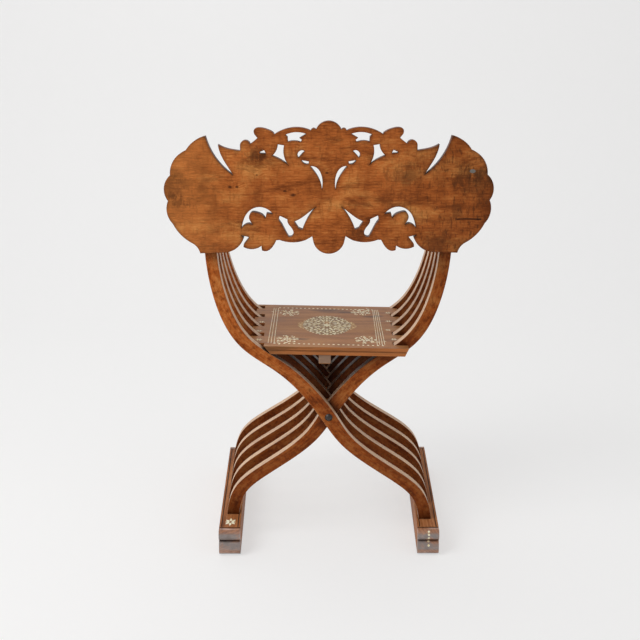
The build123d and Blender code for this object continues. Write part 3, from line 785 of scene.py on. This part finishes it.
def petal(x, y, turn, long, wide):
    """Outline of a pointed petal that starts at a point and leaves it at an angle."""
    side = [(0.0, 0.0), (0.28, 0.42), (0.6, 0.5), (0.86, 0.26), (1.0, 0.0)]
    shape = side + [(a, -b) for a, b in reversed(side[1:-1])]
    return [
        (
            x + a * long * cos(turn) + b * wide * sin(turn),
            y + a * long * sin(turn) - b * wide * cos(turn),
        )
        for a, b in reversed(shape)
    ]


def bar(start, end, wide):
    """Outline of a straight strip between two plan points."""
    turn = atan2(end[1] - start[1], end[0] - start[0])
    dx, dy = -sin(turn) * wide / 2, cos(turn) * wide / 2
    return [
        (start[0] + dx, start[1] + dy), (start[0] - dx, start[1] - dy),
        (end[0] - dx, end[1] - dy), (end[0] + dx, end[1] + dy),
    ]


def seat_ground():
    """The sloping top of the seat, with plan points measured from the chair's own middle."""
    mesh = nodes["seat_plank_front"].data
    top = max(
        (face for face in mesh.polygons if face.normal.z > 0.99), key=lambda face: face.center.z
    )
    normal = top.normal
    slope = Vector((normal.z, 0, -normal.x))
    height = top.center.z + top.center.x * normal.x / normal.z
    return Ground((0, 0, height), slope, (0, 1, 0))


class Inlay:
    """Tiles that are let into one face and make one piece."""

    def __init__(self, ground, look):
        self.maker = bmesh.new()
        self.ground = ground
        self.proud = look.proud

    def ring(self, outline, height, inset=0):
        """New corners of a tile at a height, drawn in towards its middle."""
        centre_x = sum(x for x, y in outline) / len(outline)
        centre_y = sum(y for x, y in outline) / len(outline)
        corners = []
        for x, y in outline:
            dx, dy = x - centre_x, y - centre_y
            reach = hypot(dx, dy)
            keep = max(0.3, 1 - inset / reach) if reach > 0 else 1
            place = self.ground.point(centre_x + dx * keep, centre_y + dy * keep, height)
            corners.append(self.maker.verts.new(place))
        return corners

    def add(self, outline, proud=None):
        """One tile of bone: its walls go into the wood, and its top edge is eased."""
        proud = self.proud if proud is None else proud
        low = self.ring(outline, -SUNK)
        wall, top = self.ring(outline, proud * 0.6), self.ring(outline, proud, EASED)
        for lower, upper in ((low, wall), (wall, top)):
            for i, corner in enumerate(lower):
                j = (i + 1) % len(lower)
                self.maker.faces.new((corner, lower[j], upper[j], upper[i]))
        self.maker.faces.new(top)
        self.maker.faces.new(list(reversed(low)))

    def add_strip(self, outer_arc, inner_arc, proud, side):
        """A flat piece between two lines of plan points, with walls that go into the wood."""
        def line(points, height):
            return [self.maker.verts.new(self.ground.point(x, y, height)) for x, y in points]

        top_outer, top_inner = line(outer_arc, proud), line(inner_arc, proud)
        low_outer, low_inner = line(outer_arc, -SUNK), line(inner_arc, -SUNK)
        quads = []
        for i in range(len(outer_arc) - 1):
            quads += [
                (top_inner[i], top_outer[i], top_outer[i + 1], top_inner[i + 1]),
                (top_outer[i], low_outer[i], low_outer[i + 1], top_outer[i + 1]),
                (low_inner[i], top_inner[i], top_inner[i + 1], low_inner[i + 1]),
                (low_outer[i], low_inner[i], low_inner[i + 1], low_outer[i + 1]),
            ]
        quads.append((top_outer[0], top_inner[0], low_inner[0], low_outer[0]))
        quads.append((top_inner[-1], top_outer[-1], low_outer[-1], low_inner[-1]))
        for quad in quads:
            self.maker.faces.new(quad if side > 0 else tuple(reversed(quad)))


# ---- the seat's picture field ----
NEAR_ROW = ((-113.1, -157.0), (113.5, -160.0))  # ends of the dotted rows, in millimetres
FAR_ROW = ((-112.7, 140.0), (105.6, 136.1))
LEFT_STRIPES = ((-126.5, -126.3), (-120.3, -121.7), (-114.0, -115.9))  # x at the near, far end
RIGHT_STRIPES = ((102.0, 107.0), (107.3, 110.8), (112.6, 114.8), (117.9, 118.8))
STRIPE_NEAR_Y, STRIPE_FAR_Y = -155.5, 136.5
ROSETTE = (-2.2 * mm, -7 * mm)
HUB_SHADE = (-2.2 * mm, 14 * mm)  # a worn oval in front of the hub
CRESCENT_REACH = 66 * mm
GROUND_RISE = 0.08 * mm  # how far the rosette's dark ground stands out
SPRIGS = (  # middle of a corner sprig, and the way that it looks
    (-87, -124.5, 40),
    (79, -118.5, 140),
    (-88, 95.5, -40),
    (78, 112.5, -140),
)
FINGER_FLOWERS = (
    (-149.2, 10.0), (-150.4, -64.0), (-147.1, -132.5),
    (141.9, 112.0), (137.9, 36.0), (132.1, -38.0), (139.9, -111.0),
)
ROSETTE_RINGS = (  # share of the reach, tiles for each point, length, width, shift in steps
    (0.12, 0.5, 7.0, 3.6, 0),
    (0.29, 0.5, 9.8, 6.2, 0.5),
    (0.43, 1, 9.2, 5.2, 0),
    (0.50, 1, 7.2, 4.8, 0.5),
    (0.63, 1, 10.0, 5.9, 0),
    (0.70, 1, 8.3, 5.7, 0.5),
)
ROSETTE_DOTS = (  # share of the reach, dots for each point, radius
    (0.37, 0.5, 1.6),
    (0.575, 1, 1.6),
    (0.975, 2.5, 2.2),
)
SPRIG_WREATHS = (  # leaves, distance from the flower, size, lean to either side
    (8, 3.4, 0.8, 0.0),
    (11, 12.0, 0.75, 0.7),
    (14, 18.5, 0.6, -0.7),
)
SPRIG_STEM = 4  # leaves along the stem


def add_row(inlay, look, ends):
    """A dotted row of bone pegs from one plan point to another."""
    (start_x, start_y), (end_x, end_y) = ends
    steps = round(hypot(end_x - start_x, end_y - start_y) * mm / look.dot_spacing)
    for step in range(steps + 1):
        x = (start_x + (end_x - start_x) * step / steps) * mm
        y = (start_y + (end_y - start_y) * step / steps) * mm
        inlay.add(disc(x, y, look.dot_radius))


def add_rosette(inlay, look):
    """Rings of small tiles round a hub; the whole is longer from front to back than across."""
    centre_x, centre_y = ROSETTE
    half_x, half_y = look.rosette_half_width, look.rosette_half_depth

    def spoke(turn, reach):
        return centre_x + half_x * reach * cos(turn), centre_y + half_y * reach * sin(turn)

    def heading(turn):
        return atan2(half_y * sin(turn), half_x * cos(turn))

    points = look.rosette_points
    inlay.add(disc(centre_x, centre_y, 7 * mm, 16))
    for reach, portion, long, wide, shift in ROSETTE_RINGS:
        count = int(points * portion)
        for i in range(count):
            turn = tau * (i + shift) / count
            x, y = spoke(turn, reach)
            inlay.add(petal(x, y, heading(turn), long * mm, wide * mm))
    leaves = points * 2
    for i in range(leaves):
        turn = tau * (i + 0.25) / leaves
        x, y = spoke(turn, 0.84)
        lean = heading(turn) + (0.6 if i % 2 else -0.6)
        inlay.add(petal(x, y, lean, 8.0 * mm, 4.4 * mm))
    for reach, portion, radius in ROSETTE_DOTS:
        count = int(points * portion)
        for i in range(count):
            x, y = spoke(tau * i / count, reach)
            inlay.add(disc(x, y, radius * mm))


def add_sprig(inlay, look, x, y, turn):
    """A corner sprig: a flower in a wreath of leaves, on a stem that bends to the corner."""
    dice = random.Random(round(x * 1000) + round(y * 1000) * 7)
    x, y = x * mm, y * mm
    inlay.add(disc(x, y, 2.2 * mm))
    for count, reach, scale, skew in SPRIG_WREATHS:
        for i in range(count):
            angle = turn + tau * (i + 0.3 * dice.random()) / count
            root_x = x + reach * mm * cos(angle)
            root_y = y + 1.25 * reach * mm * sin(angle)
            lean = angle + skew * (1 if i % 2 else -1)
            long = look.petal_length * scale * (0.85 + 0.3 * dice.random())
            wide = look.petal_width * (0.5 + scale / 2)
            inlay.add(petal(root_x, root_y, lean, long, wide))
    for step in range(SPRIG_STEM):
        bend = turn + pi + 0.16 * step
        reach = (22 + 5.5 * step) * mm
        start = x + reach * cos(bend), y + reach * sin(bend)
        inlay.add(petal(*start, bend, 6.5 * mm, 2.2 * mm))


def add_star(inlay, x, y, petals, long, wide, stretch=1.0):
    """A small star of petals round a point, stretched from front to back."""
    for i in range(petals):
        angle = tau * i / petals
        reach = long * hypot(cos(angle), stretch * sin(angle))
        root = reach * 0.2
        tip = petal(x + root * cos(angle), y + root * sin(angle), angle, reach, wide)
        inlay.add(tip)


def add_crescent(inlay, look, side):
    """A worn almond beside the rosette, cut off where the rosette's dots begin."""
    centre_x, centre_y = ROSETTE
    inner = look.rosette_half_width * 1.03
    half_depth = look.rosette_half_depth * 0.62
    outer_arc = []
    inner_arc = []
    steps = 12
    for i in range(steps + 1):
        t = -1 + 2 * i / steps
        y = centre_y + half_depth * t
        inside = inner * (1 - (half_depth * t / look.rosette_half_depth) ** 2) ** 0.5
        outside = max(inside + 0.4 * mm, CRESCENT_REACH * (1 - 0.42 * t * t))
        outer_arc.append((centre_x + side * outside, y))
        inner_arc.append((centre_x + side * inside, y))
    inlay.add_strip(outer_arc, inner_arc, look.proud * 0.6, side)


# ---- the board ----
WELD = 0.01 * mm
ALMOST_FLAT = radians(3)
SHARP = radians(60)


def softened_board(look):
    """The board with the edges of its outline and piercings rounded."""
    maker = bmesh.new()
    maker.from_mesh(nodes["back_board"].data)
    bmesh.ops.remove_doubles(maker, verts=maker.verts, dist=WELD)
    bmesh.ops.dissolve_limit(maker, angle_limit=ALMOST_FLAT, verts=maker.verts, edges=maker.edges)
    low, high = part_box("back_board")
    rims = []
    for edge in maker.edges:
        flat = [abs(v.co.y - level) < 0.05 * mm for v in edge.verts for level in (low.y, high.y)]
        if len(edge.link_faces) == 2 and edge.calc_face_angle(0) > SHARP and any(flat):
            rims.append(edge)
    bmesh.ops.bevel(
        maker, geom=rims, offset=look.edge_round, offset_type="OFFSET", segments=2, profile=0.5,
        affect="EDGES", clamp_overlap=True,
    )
    bmesh.ops.triangulate(maker, faces=[f for f in maker.faces if len(f.verts) > 4])
    for face in maker.faces:
        face.smooth = True
    return maker


# ---- operators ----
class ARMCHAIR_OT_slats(Operator):
    """Give the slats and the rings between them their oiled timber"""

    bl_idname = "armchair.slats"
    bl_label = "Slats"

    def execute(self, context):
        look = context.scene.armchair_slats
        dress(FRAME_A_SLATS, slat_timber(look, "slat_timber_a", False))
        dress(FRAME_B_SLATS, slat_timber(look, "slat_timber_b", True))
        dress(["spacer_rings"], turned_timber(look, "ring_timber", 0.35))
        return {"FINISHED"}


class ARMCHAIR_OT_rails(Operator):
    """Give the foot rails their dark timber, and the tenon pegs theirs"""

    bl_idname = "armchair.rails"
    bl_label = "Foot rails"

    def execute(self, context):
        look = context.scene.armchair_rails
        dress(["rail_right", "rail_left"], rail_timber(look))
        dress(["tenon_pegs_a", "tenon_pegs_b"], turned_timber(look, "peg_timber", 0.5))
        return {"FINISHED"}


class ARMCHAIR_OT_arms(Operator):
    """Give the arms their polished timber"""

    bl_idname = "armchair.arms"
    bl_label = "Arms"

    def execute(self, context):
        dress(["arm_left", "arm_right"], arm_timber(context.scene.armchair_arms))
        return {"FINISHED"}


class ARMCHAIR_OT_seat(Operator):
    """Give the seat planks and their batten waxed timber"""

    bl_idname = "armchair.seat"
    bl_label = "Seat"

    def execute(self, context):
        look = context.scene.armchair_seat
        dress(PLANKS, seat_timber(look, "seat_timber"))
        dress(["seat_batten"], seat_timber(look, "batten_timber", True))
        return {"FINISHED"}


class ARMCHAIR_OT_seat_inlay(Operator):
    """Let the bone rosette, sprigs, stripes and dotted rows into the seat"""

    bl_idname = "armchair.seat_inlay"
    bl_label = "Seat inlay"

    def execute(self, context):
        look = context.scene.armchair_inlay
        ground = seat_ground()
        bone = inlay_bone(look)

        def let_in(name, inlay, material):
            new_piece(name, inlay.maker, material, "seat")

        rows = Inlay(ground, look)
        for ends in (NEAR_ROW, FAR_ROW):
            add_row(rows, look, ends)
        let_in("seat_inlay_rows", rows, bone)
        stripes = Inlay(ground, look)
        for near_x, far_x in LEFT_STRIPES + RIGHT_STRIPES:
            start, end = (near_x * mm, STRIPE_NEAR_Y * mm), (far_x * mm, STRIPE_FAR_Y * mm)
            stripes.add(bar(start, end, look.stripe_width))
        let_in("seat_inlay_stripes", stripes, bone)
        field = Inlay(ground, look)
        field.add(oval(*ROSETTE, look.rosette_half_width, look.rosette_half_depth), GROUND_RISE)
        let_in("seat_inlay_ground", field, ebony(look))
        rosette = Inlay(ground, look)
        add_rosette(rosette, look)
        let_in("seat_inlay_rosette", rosette, bone)
        sprigs = Inlay(ground, look)
        for x, y, turn in SPRIGS:
            add_sprig(sprigs, look, x, y, radians(turn))
        let_in("seat_inlay_sprigs", sprigs, bone)
        flowers = Inlay(ground, look)
        for x, y in FINGER_FLOWERS:
            add_star(flowers, x * mm, y * mm, 6, 6 * mm, 2.6 * mm)
        let_in("seat_inlay_finger_flowers", flowers, bone)
        crescents = Inlay(ground, look)
        for side in (-1, 1):
            add_crescent(crescents, look, side)
        crescents.add(oval(*HUB_SHADE, 6 * mm, 12 * mm, 20), look.proud * 0.7)
        worn = faded_bone(look, context.scene.armchair_seat.middle)
        let_in("seat_inlay_crescents", crescents, worn)
        return {"FINISHED"}


NOSE_DOT_HEIGHTS = (54.8, 49.6, 41.5, 31, 24)
NOSE_DOT_X = 211.5
NOSE_DOT_RISE = 0.2  # these stand out less than the seat's inlay, as feet rub past them
RAIL_STAR = (-211.7, -192.9)  # plan point in millimetres


class ARMCHAIR_OT_rail_inlay(Operator):
    """Let the dots into the right rail's nose and the star into the left rail"""

    bl_idname = "armchair.rail_inlay"
    bl_label = "Rail inlay"

    def execute(self, context):
        look = context.scene.armchair_inlay
        bone = bpy.data.materials["inlay_bone"]
        rail = nodes["rail_right"]
        skin = BVHTree.FromPolygons(
            [v.co for v in rail.data.vertices], [tuple(p.vertices) for p in rail.data.polygons]
        )
        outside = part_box("rail_right")[0].y - 50 * mm
        dots = Inlay(None, look)
        for height in NOSE_DOT_HEIGHTS:
            start = Vector((NOSE_DOT_X * mm, outside, height * mm))
            place, normal, *_ = skin.ray_cast(start, Vector((0, 1, 0)))
            if place is None:
                raise RuntimeError(f"no rail behind the dot at {height} mm")
            dots.ground = Ground(place, (1, 0, 0), normal.cross(Vector((1, 0, 0))))
            dots.add(disc(0, 0, look.dot_radius, 14), look.proud * NOSE_DOT_RISE)
        new_piece("rail_inlay_dots", dots.maker, bone, "frame_a")
        star = Inlay(Ground((0, 0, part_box("rail_left")[1].z), (1, 0, 0), (0, 1, 0)), look)
        x, y = RAIL_STAR
        add_star(star, x * mm, y * mm, 8, 9.5 * mm, 5.4 * mm, 1.5)
        new_piece("rail_inlay_star", star.maker, bone, "frame_b")
        return {"FINISHED"}


class ARMCHAIR_OT_back_board(Operator):
    """Make the pierced board with rounded edges, and give its keys their timber"""

    bl_idname = "armchair.back_board"
    bl_label = "Back board"

    def execute(self, context):
        look = context.scene.armchair_board
        board = new_piece(
            "pierced_board", softened_board(look), board_timber(look), "backrest"
        )
        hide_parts("back_board")
        keys = turned_timber(context.scene.armchair_arms, "key_timber", 0.8)
        dress(["back_key_left", "back_key_right"], keys)
        return {"FINISHED"}


METALWORK = (
    "pivot_rod", "pivot_washer", "pivot_nut", "seat_hinge_rod", "seat_rest_rod", "batten_screws",
    "back_key_screws",
)


class ARMCHAIR_OT_metalwork(Operator):
    """Blacken the rods, the nut and the screws"""

    bl_idname = "armchair.metalwork"
    bl_label = "Metalwork"

    def execute(self, context):
        dress(METALWORK, dark_steel(context.scene.armchair_metal))
        return {"FINISHED"}


EYE = (-0.0178, -2.16, 1.0395)
LOOK_DOWN, EYE_ROLL = 15.11, 0.14  # degrees
SENSOR_WIDTH = 36  # millimetres
LAMPS = (  # name, place, width, setting that holds its power
    ("key_light", (-1.9, -1.5, 2.5), 1.8, "key_power"),
    ("fill_light", (2.2, -1.6, 1.7), 1.6, "fill_power"),
    ("front_light", (-0.6, 1.9, 2.6), 1.6, "front_power"),
)
SWEEP_HALF_WIDTH, SWEEP_NEAR, SWEEP_FAR, SWEEP_TALL = 6.0, -5.0, 2.6, 4.5
SWEEP_BEND = 1.0  # radius between the floor and the backdrop
SWEEP_STEPS = 16


def add_lamp(name, place, aim, width, power):
    """A square lamp that looks at a point."""
    lamp = bpy.data.lights.new(name, "AREA")
    lamp.energy = power
    lamp.size = width
    holder = linked(name, lamp)
    holder.location = place
    holder.rotation_euler = (Vector(aim) - Vector(place)).to_track_quat("-Z", "Y").to_euler()


def add_sweep(look):
    """A pale floor that curves up into the backdrop."""
    maker = bmesh.new()
    foot = SWEEP_FAR - SWEEP_BEND
    profile = [(SWEEP_NEAR, 0.0), (foot, 0.0)]
    for step in range(1, SWEEP_STEPS + 1):
        angle = pi / 2 * step / SWEEP_STEPS
        profile.append((foot + SWEEP_BEND * sin(angle), SWEEP_BEND - SWEEP_BEND * cos(angle)))
    profile.append((SWEEP_FAR, SWEEP_TALL))
    ends = (-SWEEP_HALF_WIDTH, SWEEP_HALF_WIDTH)
    sides = [[maker.verts.new((x, y, z)) for y, z in profile] for x in ends]
    for i in range(len(profile) - 1):
        face = maker.faces.new((sides[0][i], sides[1][i], sides[1][i + 1], sides[0][i + 1]))
        face.smooth = True
    sweep = solid("sweep", maker, sweep_paint(look))


class ARMCHAIR_OT_stage(Operator):
    """Set the floor, the lights and the camera"""

    bl_idname = "armchair.stage"
    bl_label = "Stage"

    def execute(self, context):
        look = context.scene.armchair_stage
        scene = context.scene
        add_sweep(look)
        middle = (0, 0, cad_box[1][2] / 2)
        for name, place, width, power in LAMPS:
            add_lamp(name, place, middle, width, getattr(look, power))
        world = bpy.data.worlds.new("even_light")
        world.use_nodes = True
        sky = world.node_tree.nodes["Background"]
        sky.inputs["Color"].default_value = (1, 1, 1, 1)
        sky.inputs["Strength"].default_value = look.sky
        scene.world = world
        camera = bpy.data.cameras.new("camera")
        camera.lens = look.lens
        camera.sensor_width = SENSOR_WIDTH
        holder = linked("camera", camera)
        tilt = Matrix.Rotation(radians(90 - LOOK_DOWN), 4, "X")
        roll = Matrix.Rotation(-radians(EYE_ROLL), 4, "Z")
        holder.matrix_world = Matrix.Translation(EYE) @ tilt @ roll
        scene.camera = holder
        scene.view_settings.view_transform = "Standard"
        return {"FINISHED"}


class ARMCHAIR_PT_pieces(Panel):
    """Lists the operators of the armchair"""

    bl_idname = "ARMCHAIR_PT_pieces"
    bl_label = "Armchair"
    bl_space_type = "VIEW_3D"
    bl_region_type = "UI"
    bl_category = "Armchair"

    def draw(self, context):
        for operator in OPERATORS:
            self.layout.operator(operator.bl_idname)


SETTINGS = {
    "armchair_slats": SlatSettings,
    "armchair_rails": RailSettings,
    "armchair_arms": ArmSettings,
    "armchair_seat": SeatSettings,
    "armchair_inlay": InlaySettings,
    "armchair_board": BoardSettings,
    "armchair_metal": MetalSettings,
    "armchair_stage": StageSettings,
}
OPERATORS = (
    ARMCHAIR_OT_slats,
    ARMCHAIR_OT_rails,
    ARMCHAIR_OT_arms,
    ARMCHAIR_OT_seat,
    ARMCHAIR_OT_seat_inlay,
    ARMCHAIR_OT_rail_inlay,
    ARMCHAIR_OT_back_board,
    ARMCHAIR_OT_metalwork,
    ARMCHAIR_OT_stage,
)


def register():
    for name, group in SETTINGS.items():
        bpy.utils.register_class(group)
        setattr(bpy.types.Scene, name, PointerProperty(type=group))
    for operator in OPERATORS:
        bpy.utils.register_class(operator)
    bpy.utils.register_class(ARMCHAIR_PT_pieces)


def unregister():
    bpy.utils.unregister_class(ARMCHAIR_PT_pieces)
    for operator in reversed(OPERATORS):
        bpy.utils.unregister_class(operator)
    for name, group in SETTINGS.items():
        delattr(bpy.types.Scene, name)
        bpy.utils.unregister_class(group)


def main():
    register()
    bpy.ops.armchair.slats()
    bpy.ops.armchair.rails()
    bpy.ops.armchair.arms()
    bpy.ops.armchair.seat()
    bpy.ops.armchair.seat_inlay()
    bpy.ops.armchair.rail_inlay()
    bpy.ops.armchair.back_board()
    bpy.ops.armchair.metalwork()
    bpy.ops.armchair.stage()


if __name__ == "__main__":
    main()
